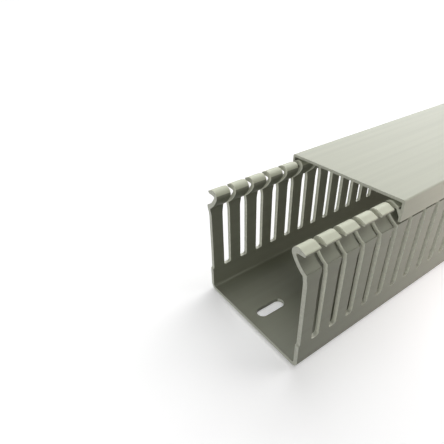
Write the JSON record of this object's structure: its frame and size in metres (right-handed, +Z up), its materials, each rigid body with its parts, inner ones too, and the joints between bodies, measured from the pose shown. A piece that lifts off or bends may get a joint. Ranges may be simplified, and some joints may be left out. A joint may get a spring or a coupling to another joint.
{
  "type": "slotted wire duct",
  "caption": "Open-topped plastic wiring trough with slotted walls ending in outward hooks, and a flat cover that clips over the hooks and slides along them.",
  "frame": {"origin": "on the mounting face, below the duct's centre line, at the trough's near end", "axes": "+X along the duct from its near end, +Z up out of the mounting face, +Y across the duct to complete a right-handed set"},
  "size_m": [1.0512, 0.06, 0.0586],
  "materials": {
    "duct_pvc": "warm grey rigid PVC, extruded and punched, semi-matt with paler cut edges",
    "cover_pvc": "warm grey rigid PVC, extruded, semi-matt with faint lengthwise draw lines"
  },
  "bodies": {
    "duct": {"trough": "duct_pvc"},
    "cover": {"cover": "cover_pvc"}
  },
  "joints": [
    {"name": "cover_slide", "type": "slide", "parent": "duct", "child": "cover", "axis": [1, 0, 0], "range_m": [-0.0512, 0.85]}
  ]
}
